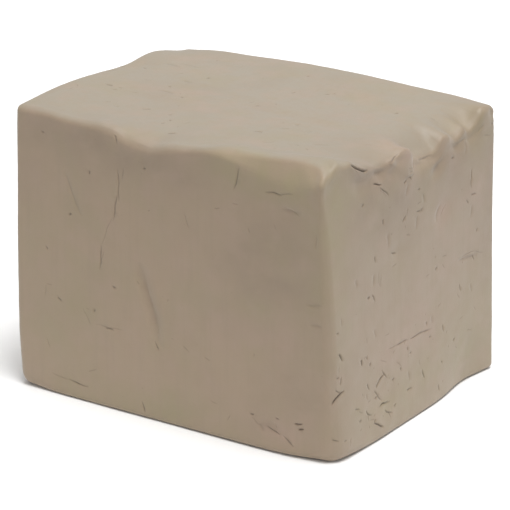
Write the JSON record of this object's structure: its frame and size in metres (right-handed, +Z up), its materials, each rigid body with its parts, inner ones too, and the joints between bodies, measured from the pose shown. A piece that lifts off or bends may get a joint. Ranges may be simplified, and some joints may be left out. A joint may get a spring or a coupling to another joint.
{
  "type": "block of moist modelling clay",
  "caption": "Solid rectangular block of moist modelling clay with soft slumped edges, standing on a flat underside.",
  "frame": {"origin": "middle of the underside, on the surface that the block stands on", "axes": "+X along the block's longest side, towards the ragged cut end; +Y from the front long side to the back one; +Z up"},
  "size_m": [0.2184, 0.1754, 0.1687],
  "materials": {
    "clay": "unfired moist clay, matt warm grey-buff, with fine creases and small pits where a bag was pressed on it"
  },
  "bodies": {
    "root": {"clay_block": "clay"}
  },
  "joints": []
}
